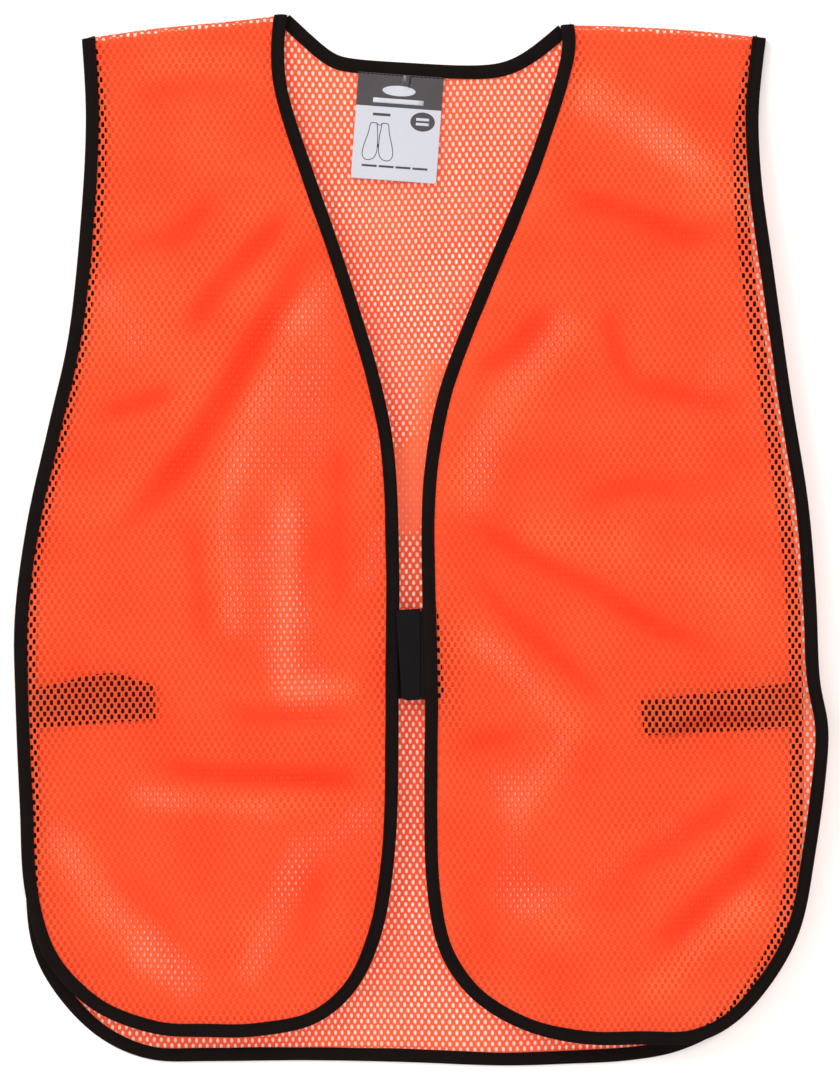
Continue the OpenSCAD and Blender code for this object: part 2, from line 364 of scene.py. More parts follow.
def edge_distance(outline, x, y):
    """Distance of each point from the nearest stretch of an outline."""
    best = np.full(x.shape, np.inf)
    for a, b in zip(outline, np.roll(outline, -1, 0)):
        ahead = b - a
        t = np.clip(((x - a[0]) * ahead[0] + (y - a[1]) * ahead[1]) / (ahead @ ahead), 0, 1)
        best = np.minimum(best, np.hypot(x - a[0] - ahead[0] * t, y - a[1] - ahead[1] * t))
    return best


low, high = cad_box
GRID_X = np.arange(low[0] - 4 * GRID, high[0] + 4 * GRID, GRID)
GRID_Y = np.arange(low[1] - 4 * GRID, high[1] + 4 * GRID, GRID)
FIELD_X, FIELD_Y = [g.ravel() for g in np.meshgrid(GRID_X, GRID_Y)]


def tone_and_shade_field(creases, puffs):
    """Tone of the cloth: uneven at random, with painted shade in its creases, below 0, and painted
    light on its swellings, above 0.
    """
    x, y = FIELD_X, FIELD_Y
    tone = 0.15 * waves(x, y, 41, 55 * MM)
    # Painted shade in the creases
    tone -= sum(crease_shade(x, y, *c) for c in creases)
    # Painted light on the swellings
    tone += sum(puff(x, y, *p) for p in puffs) / (2.6 * MM)
    return tone.reshape(len(GRID_Y), len(GRID_X))


def front_field(front, creases, puffs, sag, seed):
    """Height of the middle of a front's cloth, over the whole grid."""
    x, y = FIELD_X, FIELD_Y
    below = shoulder_y(front, x) - y
    base = BACK_LEVEL + 2 * TURN
    level = base + (front["level"] - base) * smooth(0, 110 * MM, below)
    edge = edge_distance(front["outline"], x, y)
    folds = waves(x, y, seed, 90 * MM) * 0.5 * MM
    folds += 1.5 * sum(crease(x, y, *c) for c in creases) + sum(puff(x, y, *p) for p in puffs)
    folds -= sag * smooth(4 * MM, 70 * MM, edge)
    folds *= smooth(2 * MM, 60 * MM, below) * (0.25 + 0.75 * smooth(3 * MM, 30 * MM, edge))
    folds *= smooth(20 * MM, 55 * MM, nearest(x, y, CLOSURE)[0])
    return (level + folds).reshape(len(GRID_Y), len(GRID_X))


def back_field():
    """Height of the middle of the back's cloth, which lies on the floor."""
    x, y = FIELD_X, FIELD_Y
    edge = edge_distance(BACK_OUTLINE, x, y)
    folds = sum(crease(x, y, *c) for c in BACK_CREASES)
    folds += 0.25 * MM * waves(x, y, 5, 70 * MM)
    folds = np.maximum(folds, -0.4 * MM) * smooth(4 * MM, 30 * MM, edge)
    return (BACK_LEVEL + folds).reshape(len(GRID_Y), len(GRID_X))


def sample(field, x, y):
    """The field's height at any points."""
    i = np.clip((x - GRID_X[0]) / GRID, 0, len(GRID_X) - 1.001)
    j = np.clip((y - GRID_Y[0]) / GRID, 0, len(GRID_Y) - 1.001)
    i0, j0 = i.astype(int), j.astype(int)
    fi, fj = i - i0, j - j0
    near = field[j0, i0] * (1 - fi) + field[j0, i0 + 1] * fi
    far = field[j0 + 1, i0] * (1 - fi) + field[j0 + 1, i0 + 1] * fi
    return near * (1 - fj) + far * fj


def drawn_shut(x, y):
    """How far the back's holes are closed, from 0 to nearly 1."""
    share = 0
    for points, width, strength in BACK_SHUT:
        away = nearest(x, y, points)[0] / (width * MM)
        share = share + strength * smooth(1, 0.3, away)
    return np.clip(share, 0, 0.9)


LEFT["field"] = front_field(LEFT, LEFT_CREASES, LEFT_PUFFS, 2.5 * MM, 11)
RIGHT["field"] = front_field(RIGHT, RIGHT_CREASES, RIGHT_PUFFS, 4 * MM, 12)
LEFT["tone"] = tone_and_shade_field(LEFT_CREASES, LEFT_PUFFS)
RIGHT["tone"] = tone_and_shade_field(RIGHT_CREASES, RIGHT_PUFFS)
BACK_FIELD = back_field()
BACK_TONE = tone_and_shade_field(BACK_CREASES, [])
# Painted light: the back is lighter and pinker where its holes are drawn shut
BACK_TONE += 2.8 * drawn_shut(FIELD_X, FIELD_Y).reshape(BACK_TONE.shape)
# Painted light: the back is lighter where the fronts lie over it
for front in (LEFT, RIGHT):
    BACK_TONE += 0.5 * inside(front["outline"], FIELD_X, FIELD_Y).reshape(BACK_TONE.shape)


def on_back(x, y, lift=0.0):
    """Places points of the back's flat pattern, lifted off the cloth."""
    return np.stack([x, y, sample(BACK_FIELD, x, y) + lift], axis=-1)


def on_front(front, x, y, lift=0.0):
    """Places points of a front's flat pattern. Past the shoulder the cloth turns under, to the back."""
    crest = shoulder_y(front, x) + TURN / 3
    flat_y = np.minimum(y, crest - TURN)
    turn = np.clip((y - flat_y) / TURN, 0, math.pi)
    reach = TURN + lift
    z = sample(front["field"], x, flat_y) - TURN + reach * np.cos(turn)
    return np.stack([x, flat_y + reach * np.sin(turn), z], axis=-1)


# -------- mesh building


def make_mesh(name, points, faces, uvs=None):
    """A mesh object in the scene, from points in metres and faces, with a UV for each point."""
    mesh = bpy.data.meshes.new(name)
    mesh.from_pydata(np.asarray(points).tolist(), [], faces)
    mesh.validate()
    mesh.polygons.foreach_set("use_smooth", [True] * len(mesh.polygons))
    if uvs is not None:
        layer = mesh.uv_layers.new(name="UVMap")
        corners = np.zeros(len(mesh.loops), np.int32)
        mesh.loops.foreach_get("vertex_index", corners)
        layer.data.foreach_set("uv", np.asarray(uvs, np.float32)[corners].ravel())
    thing = bpy.data.objects.new(name, mesh)
    bpy.context.scene.collection.objects.link(thing)
    return thing


def swept_faces(rings, count, first=0, capped=True):
    """Faces of a tube through rings of count points each, closed at both ends if capped."""
    faces = []
    for s in range(rings - 1):
        for k in range(count):
            a = first + s * count + k
            b = first + s * count + (k + 1) % count
            faces.append((a, b, b + count, a + count))
    if capped:
        last = first + (rings - 1) * count
        faces.append(tuple(first + k for k in reversed(range(count))))
        faces.append(tuple(last + k for k in range(count)))
    return faces


def over_back(places, seed):
    """How far a front's holes stand from the back's: half a space, but less where they align."""
    def moved(x, y):
        share = 0.07 * waves(x, y, seed, 60 * MM)
        for points, width, strength in places:
            patch_share = np.exp(-((nearest(x, y, points)[0] / (width * MM)) ** 2))
            share += patch_share * (strength + 0.1 * waves(x, y, seed + 2, 45 * MM))
        return PITCH / 2 * (1 - np.clip(share, -0.3, 1)), 0.12 * MM * waves(x, y, seed + 1, 80 * MM)
    return moved


def perforated(name, keep, place, tone, moved=None, shut=None):
    """Knitted mesh with six-sided holes in staggered rows, a little uneven."""
    low, high = np.array(cad_box[0][:2]) - 0.03, np.array(cad_box[1][:2]) + 0.03
    columns = int((high[0] - low[0]) / PITCH)
    rows = int((high[1] - low[1]) / ROW)
    j, i = np.meshgrid(np.arange(rows), np.arange(columns), indexing="ij")
    cu = (i + (j % 2) * 0.5).ravel()
    cv = j.ravel().astype(float)
    rim = np.array([(0, HOLE_H / 2), (HOLE_W / 2, HOLE_SIDE), (HOLE_W / 2, -HOLE_SIDE),
                    (0, -HOLE_H / 2), (-HOLE_W / 2, -HOLE_SIDE), (-HOLE_W / 2, HOLE_SIDE)])
    middle_x = np.repeat((cu - columns / 2) * PITCH, 6)
    middle_y = np.repeat((cv - rows / 2) * ROW, 6)
    rim_x, rim_y = np.tile(rim, (len(cu), 1)).T
    open_share = 1 - (shut(middle_x, middle_y) if shut else 0)
    u = np.repeat(cu, 6) + rim_x / PITCH * (0.72 + 0.28 * open_share)
    v = np.repeat(cv, 6) + rim_y / ROW
    fx = middle_x + rim_x * open_share
    fy = middle_y + rim_y * (0.6 + 0.4 * open_share)
    x = fx * math.cos(GRAIN) - fy * math.sin(GRAIN) + 1.2 * MM * waves(fx, fy, 3, 190 * MM, 5)
    y = fx * math.sin(GRAIN) + fy * math.cos(GRAIN) + 1.2 * MM * waves(fx, fy, 4, 210 * MM, 5)
    if moved:
        dx, dy = moved(x, y)
        x, y = FRONT_SHRINK * x + dx, FRONT_SHRINK * y + dy
    kept = keep(x, y)
    faces = lattice_faces(rows, columns)
    faces = [f for f in faces if kept[list(f)].all()]
    used = np.zeros(len(x), bool)
    for f in faces:
        used[list(f)] = True
    order = np.cumsum(used) - 1
    faces = [tuple(int(order[k]) for k in f) for f in faces]
    points = place(x[used], y[used])
    cloth = make_mesh(name, points, faces, np.stack([u, v], 1)[used])
    # The tone attribute: random tone with painted shade and painted light
    shade_tone = cloth.data.attributes.new("tone", "FLOAT", "POINT")
    shade_tone.data.foreach_set("value", sample(tone, x[used], y[used]).astype(np.float32))
    return cloth


def lattice_faces(rows, columns):
    """Faces of the cloth between the holes: each hole's rim is six points, from its top, clockwise."""
    top, right_up, right_low, bottom, left_low, left_up = range(6)
    faces = []
    for j in range(rows - 1):
        for i in range(1, columns - 1):
            a = (j * columns + i) * 6
            b = a + 6
            c = ((j + 1) * columns + i + j % 2) * 6
            d = c - 6
            faces.append((a + right_low, b + left_low, b + left_up, a + right_up))
            faces.append((a + right_up, c + bottom, c + left_low, a + top))
            faces.append((a + left_up, a + top, d + right_low, d + bottom))
            faces.append((a + right_up, b + left_up, c + bottom))
            faces.append((a + top, c + left_low, d + right_low))
    return faces


def keep_back(x, y):
    """Which points of the knit are cloth of the back."""
    return inside(BACK_OUTLINE, x, y) & (edge_distance(BACK_OUTLINE, x, y) > HIDDEN_EDGE)


def keep_front(front):
    """Tells which points of the knit are cloth of a front, to a little past the shoulder."""
    def keep(x, y):
        crest = shoulder_y(front, x)
        held = np.minimum(y, crest - 2 * HIDDEN_EDGE)
        within = inside(front["outline"], x, held)
        clear = edge_distance(front["outline"], x, held) > HIDDEN_EDGE
        return within & clear & (y < crest + TURN / 3 + (math.pi - 1) * TURN)
    return keep


# Outline of the folded tape: each point's depth in from the tape's edge, and height off the cloth
TAPE_SECTION = np.array([
    (7.6, 0.50), (7.35, 0.80), (6.4, 0.90), (6.05, 0.80), (5.7, 0.76), (5.35, 0.80), (5.0, 0.90),
    (3.0, 0.95), (1.2, 0.88), (0.4, 0.60), (0.05, 0.25), (0.05, -0.25), (0.4, -0.60), (1.2, -0.88),
    (3.0, -0.90), (5.0, -0.88), (5.7, -0.78), (6.4, -0.88), (7.35, -0.78), (7.6, -0.50),
    (7.5, -0.32), (1.4, -0.32), (0.9, 0.0), (1.4, 0.32), (7.5, 0.32),
]) * MM


def folded_tape(name, edge, place, wider=1.0):
    """Tape folded over an edge of the cloth and sewn down, swept along the edge's line."""
    inward = normals(edge)
    along = np.arange(len(edge)) * TAPE_STEP
    sway = 0.12 * MM * np.sin(along / (17 * MM)) + 0.08 * MM * np.sin(along / (6.3 * MM))
    points, uvs = [], []
    around = path_length(TAPE_SECTION)
    for k, (depth, lift) in enumerate(TAPE_SECTION * (wider, 1)):
        inner = np.clip((depth - 4 * MM) / (4 * MM), 0, 1)
        at = edge + inward * (depth - EDGE_CLOTH + sway * inner)[:, None]
        points.append(place(at[:, 0], at[:, 1], lift))
        uvs.append(np.stack([along, np.full_like(along, around[k])], axis=1))
    points = np.stack(points, axis=1).reshape(-1, 3)
    uvs = np.stack(uvs, axis=1).reshape(-1, 2)
    return make_mesh(name, points, swept_faces(len(edge), len(TAPE_SECTION), capped=False), uvs)


def stitches(name, edge, place, pitch=2.6 * MM, depth=STITCH_IN - EDGE_CLOTH, faces_of=(1, -1)):
    """Short raised threads along a binding, on both of its faces."""
    line = resampled(edge, pitch)
    inward = normals(line)
    ahead = np.stack([inward[:, 1], -inward[:, 0]], axis=1)
    points, faces = [], []
    section = np.array([(-0.28, -0.12), (-0.14, 0.14), (0.14, 0.14), (0.28, -0.12)]) * MM
    for face_side in faces_of:
        for step, drop in ((-0.42, 0.16), (-0.2, 0), (0.2, 0), (0.42, 0.16)):
            for across, lift in section:
                at = line + inward * (depth + across) + ahead * (step * pitch)
                height = face_side * (0.82 * MM + lift - drop * MM)
                points.append(place(at[:, 0], at[:, 1], height))
    points = np.stack(points, axis=1)
    for n in range(len(line) * len(faces_of)):
        faces += swept_faces(4, 4, n * 16)
    return make_mesh(name, points.reshape(-1, 3), faces)


def front_edge(front):
    """Line of a front's bound edge, carried on over the shoulder at both ends."""
    line = resampled(front["bound"], TAPE_STEP)
    over = np.arange(1, 3) * TAPE_STEP
    first = line[0] + np.stack([0 * over, over], 1)[::-1]
    last = line[-1] + np.stack([0 * over, over], 1)
    return np.concatenate([first, line, last])


def patch(name, rows, place, thickness, radii=(0, 0, 0, 0), columns=24):
    """Closed piece of cloth or tape. rows are (y, left, right), from its low end up, and radii round
    its corners: low left, low right, top left and top right."""
    rows = np.array(rows, float)
    y = rows[:, 0]
    left = rows[:, 1] + corner_cut(y - y[0], radii[0]) + corner_cut(y[-1] - y, radii[2])
    right = rows[:, 2] - corner_cut(y - y[0], radii[1]) - corner_cut(y[-1] - y, radii[3])
    share = np.linspace(0, 1, columns)
    x = left[:, None] + (right - left)[:, None] * share[None, :]
    yy = np.repeat(y[:, None], columns, axis=1)
    count, area = columns, len(y) * columns
    top = place(x.ravel(), yy.ravel(), thickness / 2)
    low = place(x.ravel(), yy.ravel(), -thickness / 2)
    faces = []
    for j in range(len(y) - 1):
        for i in range(columns - 1):
            a = j * count + i
            quad = (a, a + 1, a + count + 1, a + count)
            faces.append(quad)
            faces.append(tuple(area + k for k in reversed(quad)))
    rim = [i for i in range(count)] + [j * count + count - 1 for j in range(1, len(y))]
    rim += [area - 1 - i for i in range(1, count)] + [j * count for j in range(len(y) - 2, 0, -1)]
    for a, b in zip(rim, rim[1:] + rim[:1]):
        faces.append((a, area + a, area + b, b))
    uv = np.stack([x.ravel(), yy.ravel()], 1)
    return make_mesh(name, np.concatenate([top, low]), faces, np.concatenate([uv, uv]))


def corner_cut(along, radius):
    """How far a round corner pulls in a side, at a distance from the piece's end."""
    inner = np.clip(radius - along, 0, radius)
    return radius - np.sqrt(np.maximum(radius * radius - inner * inner, 0))


def thread_row(name, line, place, pitch=2.4 * MM):
    """One row of short raised threads along a line, on a surface that place() gives."""
    return stitches(name, np.array(line, float), place, pitch=pitch, depth=0, faces_of=(1,))


def ribbon(name, centre, across, section):
    """Closed band of an outlined section, swept along 3D points. across is each point's side."""
    ahead = unit(np.gradient(centre, axis=0))
    up = np.cross(ahead, across)
    rings = [centre + across * a + up * h for a, h in section]
    points = np.stack(rings, axis=1)
    along = path_length(centre)
    uvs = np.stack([np.stack([along, np.full_like(along, a)], 1) for a, _ in section], axis=1)
    faces = [face[::-1] for face in swept_faces(len(centre), len(section))]
    return make_mesh(name, points.reshape(-1, 3), faces, uvs.reshape(-1, 2))


# -------- side straps


def strap_section():
    """Elastic 20 mm wide and 1 mm thick, with lengthwise ribs and rounded edges."""
    half_w, half_t, ribs = 10 * MM, 0.5 * MM, 11
    across = np.linspace(-half_w + 0.4 * MM, half_w - 0.4 * MM, ribs * 2 + 1)
    lift = np.where(np.arange(len(across)) % 2, half_t, half_t - 0.12 * MM)
    top = list(zip(across, lift))
    low = list(zip(across[::-1], -lift))
    return top + [(half_w, 0)] + low + [(-half_w, 0)]


def strap_height(front, x, y, top):
    """Height of the middle of a strap's leg: the lower lies on the back, and the top under a front."""
    if top:
        return sample(front["field"], x, y) - 1.5 * MM
    return sample(BACK_FIELD, x, y) + 1.5 * MM


def side_strap(name, front, fold_at, outward, leg, tilts, rise):
    """Elastic doubled back on itself between the back's binding and a front's."""
    rows = []
    for tilt, top in ((tilts[0], False), (tilts[1], True)):
        turn = math.radians(tilt)
        ahead = np.array([math.cos(turn) * outward, math.sin(turn)])
        s = np.linspace(leg, 4 * MM, 30)
        x = fold_at[0] + ahead[0] * s
        y = fold_at[1] + ahead[1] * s
        if top:
            y += rise * smooth(0, 0.38, s / leg) * smooth(1.05, 0.38, s / leg)
        side = np.array([-ahead[1], ahead[0]]) * outward
        z = np.stack([strap_height(front, x + side[0] * w, y + side[1] * w, top)
                      for w in np.linspace(-10, 10, 9) * MM])
        z = z.min(0) if top else z.max(0)
        rows.append((np.stack([x, y, z], 1), np.array([*side, 0])))
    (low_leg, low_side), (top_leg, top_side) = rows
    z0, z1 = low_leg[-1][2], top_leg[-1][2]
    radius = (z1 - z0) / 2
    bend = []
    for t in np.linspace(0, math.pi, 12)[1:-1]:
        mix = t / math.pi
        at = low_leg[-1] * (1 - mix) + top_leg[-1] * mix
        at[0] -= outward * radius * math.sin(t)
        at[2] = (z0 + z1) / 2 - radius * math.cos(t)
        bend.append(at)
    centre = np.concatenate([low_leg, bend, top_leg[::-1]])
    mixes = np.concatenate([np.zeros(30), np.linspace(0, 1, len(bend)), np.ones(30)])
    across = low_side[None, :] * (1 - mixes)[:, None] + top_side[None, :] * mixes[:, None]
    return ribbon(name, centre, unit(across), strap_section())


# -------- closure


def joint_box(*nodes):
    """Lowest and highest corners of several CAD nodes together."""
    lows, highs = zip(*(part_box(n) for n in nodes))
    return np.min([tuple(v) for v in lows], 0), np.max([tuple(v) for v in highs], 0)


def on_tilted(low, high, tilt, level):
    """Placement of a flat piece drawn about its middle, turned by tilt degrees at a level."""
    c, s = math.cos(math.radians(tilt)), math.sin(math.radians(tilt))
    mid = (np.asarray(low) + np.asarray(high)) / 2

    def place(x, y, lift=0.0):
        return np.stack([mid[0] + x * c - y * s, mid[1] + x * s + y * c, level(x, y) + lift], -1)
    return place


def bristles(name, rows, columns, box, place, height, hooked):
    """Rows of small hooks, or of soft loops where hooked is false, on one face of a tape."""
    x0, y0, x1, y1 = box
    rng = np.random.RandomState(7)
    points, faces = [], []
    up = np.array([0, 0.55, 1.0, 0.95, 0.6]) if hooked else np.array([0, 0.8, 1.0, 0.8, 0])
    out = np.array([0, 0.05, 0.3, 0.7, 0.9]) if hooked else np.array([-0.5, -0.4, 0, 0.4, 0.5])
    thick = 0.09 * MM
    for j in range(rows):
        for i in range(columns):
            x = x0 + (x1 - x0) * (i + 0.5 + 0.25 * (j % 2)) / columns
            y = y0 + (y1 - y0) * (j + 0.5) / rows
            turn = rng.uniform(-0.3, 0.3) if hooked else rng.uniform(0, math.tau)
            size = height * rng.uniform(0.85, 1.0)
            way = np.array([math.cos(turn), math.sin(turn)])
            side = np.array([-way[1], way[0]]) * thick
            base = len(points)
            for u, o in zip(up, out):
                for across, lift in ((-1, -1), (1, -1), (0, 1.2)):
                    px, py = np.array([x, y]) + way * o * 0.5 * MM + side * across
                    points.append((px, py, size * u + thick * lift))
            faces += swept_faces(len(up), 3, base)
    px, py, pz = np.array(points).T
    return make_mesh(name, place(px, py, pz), faces)


def even_rows(y0, y1, left, right, count=40):
    """Rows of a patch, where left and right are numbers or functions of y."""
    y = np.linspace(y0, y1, count)
    ends = [np.array([side(v) if callable(side) else side for v in y]) for side in (left, right)]
    return np.stack([y, *ends], axis=1)


def build_hook_tape(materials):
    """Hook tape: one end is sewn under the left front's binding, and its hooks face up beyond it."""
    low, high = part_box("hook_tape")
    half_w, half_l = (high.x - low.x) / 2, (high.y - low.y) / 2
    step = LEFT["bound"][:, 0].max() + EDGE_CLOTH - (low.x + high.x) / 2

    def level(x, y):
        return low.z + 0.6 * MM + 1.0 * MM * smooth(step, step + 2.2 * MM, x)
    place = on_tilted(low, high, 0, level)
    tape = patch("hook_strip", even_rows(-half_l, half_l, -half_w, half_w), place, 1.0 * MM,
                 (0, 1.5 * MM, 0, 1.5 * MM), columns=40)
    dress(tape, materials["tape_weave"], ["hook_tape"])
    box = (step + 2.6 * MM, -half_l + 1.2 * MM, half_w - 1 * MM, half_l - 1.2 * MM)

    def above(x, y, lift=0.0):
        return place(x, y, lift + 0.45 * MM)
    hooks = bristles("hooks", 44, 14, box, above, 0.75 * MM, True)
    dress(hooks, materials["nylon"], [])
    rows = [[(low.x + x, high.y - 1 * MM), (low.x + x, low.y + 1 * MM)] for x in (1.4 * MM, 3.7 * MM)]
    parts = [thread_row("hook_row", r, lambda x, y, z: on_front(LEFT, x, y, z + 0.1 * MM))
             for r in rows]
    thread = joined("hook_thread", parts)
    dress(thread, materials["thread"], ["hook_stitching"])
    for piece in (tape, hooks, thread):
        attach(piece, "left_front")


def build_loop_tape(materials):
    """Loop tape: its hidden half is sewn under the right front, and its tab peels off the hooks."""
    low, high = joint_box("loop_tape_base", "loop_tape_tab")
    tilt, half_w, half_l = 3.9, 13 * MM, 26 * MM
    c, s = math.cos(math.radians(tilt)), math.sin(math.radians(tilt))
    mid_x = (low[0] + high[0]) / 2
    level_z = high[2] - 0.45 * MM

    def level(x, y):
        return level_z + 0 * x
    place = on_tilted(low, high, tilt, level)

    def below(x, y, lift=0.0):
        return place(x, y, -lift - 0.42 * MM)

    def cut(x):
        return lambda y: (x - mid_x + y * s) / c
    tab_end = cut(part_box("loop_tape_tab")[1].x)
    base_start = cut(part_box("loop_tape_base")[0].x)
    sides = (("loop_tape_tab", "closure_tab", -half_w, tab_end, (3 * MM, 0, 1.2 * MM, 0)),
             ("loop_tape_base", "right_front", base_start, half_w - 2 * MM, (0, MM, 0, MM)))
    for node, body, left, right, radii in sides:
        name = node.replace("loop_tape", "loop_strip")
        strip = patch(name, even_rows(-half_l, half_l, left, right, 60), place, 0.8 * MM, radii,
                      columns=26)
        dress(strip, materials["tape_weave"], [node])
        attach(strip, body)
        if body == "closure_tab":
            box = (-half_w + 1.5 * MM, -half_l + 3.2 * MM, tab_end(-half_l) - 0.8 * MM,
                   half_l - 1.5 * MM)
            loops = bristles("loop_pile", 50, 15, box, below, 0.28 * MM, False)
            dress(loops, materials["nylon"], [])
            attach(loops, body)
    at = place(np.array([half_w - 6.2 * MM] * 2), np.array([half_l, -half_l]) * 0.95)[:, :2]
    thread = thread_row("loop_thread", at, lambda x, y, z: on_front(RIGHT, x, y, z - 0.5 * MM))
    dress(thread, materials["thread"], ["loop_stitching"])
    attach(thread, "right_front")


def joined(name, parts):
    """Several meshes as one piece."""
    points, faces = [], []
    for part in parts:
        base = len(points)
        points += [tuple(v.co) for v in part.data.vertices]
        faces += [tuple(base + k for k in p.vertices) for p in part.data.polygons]
        bpy.data.objects.remove(part)
    return make_mesh(name, points, faces)


# -------- label

# The label's size, its turn in degrees, its thickness and the height of its printed band
LABEL_W = 49 * MM
LABEL_H = 61 * MM
LABEL_TILT = -4.2
LABEL_T = 0.25 * MM
BAND_H = 19 * MM


def label_level(x, y):
    """The label's own lie: flat at its sewn top, with a pucker below it and its low end lifted."""
    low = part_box("neck_label")[0].z + 0.15 * MM
    ripple = 0.3 * MM * np.exp(-((y - 22 * MM) / (6 * MM)) ** 2) * np.sin(x / (3.4 * MM))
    curl = 0.9 * MM * smooth(-5 * MM, -30 * MM, y) * (0.5 + 0.5 * np.cos(x / (9 * MM)))
    return low + ripple * smooth(30.5 * MM, 26 * MM, y) + label_pucker(x, y) + curl


def label_pucker(x, y):
    """Height of the small pleat that the sewing leaves, steep at its right and open at its left."""
    below = np.maximum(30.5 * MM - y, 0)
    height = 1.25 * MM * (1 - np.exp(-(below + 0.3 * MM) / (1.3 * MM)))
    fade = smooth(9.5 * MM, 3.5 * MM, below)
    u = (x - 3.6 * MM + 0.05 * below) / MM
    ridge = smooth(-2.6, -0.4, u) * smooth(2.1, 1.3, u)
    groove = 0.6 * MM * np.exp(-((u - 2.5) / 0.6) ** 2) * smooth(0, 1.5 * MM, below)
    return (height * ridge - groove) * fade


# The drawing of a vest on the label: its right half and its neck, in mm
VEST_HALF = [(1.5, 10.4), (5.2, 10.6), (5.9, 5.0), (8.0, -2.0), (9.0, -7.6), (7.6, -10.6),
             (4.6, -11.2), (1.7, -9.6), (0.4, -6.0), (0.4, 2.0), (1.0, 7.0), (1.5, 10.4)]
VEST_NECK = [(-1.5, 10.4), (-0.8, 9.0), (0.8, 9.0), (1.5, 10.4)]


def build_label(materials):
    """Neck label with plain printed marks, sewn down at its top."""
    low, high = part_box("neck_label")
    place = on_tilted(low, high, LABEL_TILT, label_level)
    half_w, half_h = LABEL_W / 2, LABEL_H / 2
    label = patch("label_cloth", even_rows(-half_h, half_h, -half_w, half_w, 120), place, LABEL_T,
                  columns=140)
    dress(label, materials["label"], ["neck_label"])

    def printed(x, y, lift=0.0):
        return place(x, y, lift + LABEL_T / 2 + 0.03 * MM)
    ink = 0.05 * MM
    band = patch("label_band", even_rows(half_h - BAND_H, half_h, -half_w, half_w, 60), printed,
                 ink, columns=140)
    dress(band, materials["label_grey"], [])
    marks = [oval("oval", (14.2 * MM, 4.3 * MM), (7 * MM, 5.5 * MM), printed, ink)]
    marks += [rule("rule", (-9.5, 6.9, 10, 1.5), printed, ink)]
    marks += [rule("rule", (-10.3, -11, 0.6, 2), printed, ink)]
    marks += [rule("rule", (-14.5 + 9.7 * k, -22.7, 8.6, 1.2), printed, ink) for k in range(4)]
    mirrored = [(-x, y) for x, y in VEST_HALF]
    marks += [drawn_line("line", line, (-10.3, -8.5), printed, ink)
              for line in (VEST_HALF, mirrored, VEST_NECK)]
    grey = dress(joined("label_print", marks), materials["label_grey"], [])

    def over_band(x, y, lift=0.0):
        return printed(x, y, lift + 0.06 * MM)
    lights = [rule("rule", (-0.5, 15.0, 29, 2.8), over_band, ink),
              oval("lozenge", (-0.5 * MM, 21.0 * MM), (9.5 * MM, 3.0 * MM), over_band, ink),
              rule("rule", (14.2, 5.6, 7.5, 1.6), over_band, ink),
              rule("rule", (14.2, 2.9, 7.5, 1.6), over_band, ink)]
    white = dress(joined("label_marks", lights), materials["label"], [])
    row = place(np.array([-half_w + 1 * MM, half_w - 1 * MM]), np.array([half_h - 0.6 * MM] * 2))
    thread = thread_row("label_thread", row[:, :2], lambda x, y, z: np.stack(
        [x, y, z - 0.42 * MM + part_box("neck_label")[0].z + 0 * x], -1))
    dress(thread, materials["thread"], ["label_stitching"])
    for piece in (label, band, grey, white, thread):
        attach(piece, "label")


def rule(name, spec, place, ink):
    """Plain printed bar: spec is its middle, width and height, in mm."""
    x, y, w, h = [v * MM for v in spec]
    return patch(name, even_rows(y - h / 2, y + h / 2, x - w / 2, x + w / 2, 4), place, ink,
                 columns=8)


def oval(name, middle, size, place, ink):
    """Plain printed oval."""
    rows = []
    for t in np.linspace(-0.998, 0.998, 24):
        reach = size[0] * math.sqrt(1 - t * t)
        rows.append((middle[1] + size[1] * t, middle[0] - reach, middle[0] + reach))
    return patch(name, rows, place, ink, columns=48)


def drawn_line(name, points, shift, place, ink):
    """Thin printed outline through a few points, in mm."""
    line = resampled((np.array(points) + np.array(shift)) * MM, 0.8 * MM)
    side = normals(line) * 0.22 * MM
    low, high = line - side, line + side
    rows = [place(p[:, 0], p[:, 1], lift) for p in (low, high) for lift in (-ink / 2, ink / 2)]
    points = np.stack([rows[0], rows[1], rows[3], rows[2]], axis=1).reshape(-1, 3)
    return make_mesh(name, points, swept_faces(len(line), 4))


# -------- materials


def new_material(name):
    """A material, its node tree's helper and its Principled shader."""
    mat = bpy.data.materials.new(name)
    mat.use_nodes = True
    tree = mat.node_tree
    shader = tree.nodes["Principled BSDF"]

    def node(kind, inputs=(), **settings):
        made = tree.nodes.new(kind)
        for key, value in settings.items():
            setattr(made, key, value)
        for key, value in dict(inputs).items():
            if isinstance(value, bpy.types.NodeSocket):
                tree.links.new(value, made.inputs[key])
            else:
                made.inputs[key].default_value = value
        return made

    def link(a, b):
        tree.links.new(a, b)

    return mat, node, link, shader


def calc(node, operation, a, b=0.0, c=0.0, clamp=False):
    """One step of arithmetic in a material."""
    made = node("ShaderNodeMath", {0: a, 1: b, 2: c}, operation=operation)
    made.use_clamp = clamp
    return made.outputs[0]


def fill(shader, **values):
    """Sets a node's inputs by their names, written with _ for a space."""
    for key, value in values.items():
        shader.inputs[key.replace("_", " ")].default_value = value


def blend_colours(node, share, first, second):
    """Mix of two colours."""
    mix = node("ShaderNodeMix", {0: share}, data_type="RGBA")
    mix.inputs[6].default_value = (*first, 1)
    mix.inputs[7].default_value = (*second, 1)
    return mix.outputs[2]


def toned(node, share, rim, shaded_tone, lit_tone):
    """Colour from the shaded tone to the lit tone, with painted shade at the rims of the holes."""
    tone = blend_colours(node, share, shaded_tone, lit_tone)
    # Painted shade: a deeper red at the rims of the holes
    rim_shade = node("ShaderNodeMix", {0: rim, 6: tone, 7: (0.85, 0.053, 0.011, 1)}, data_type="RGBA")
    return rim_shade.outputs[2]


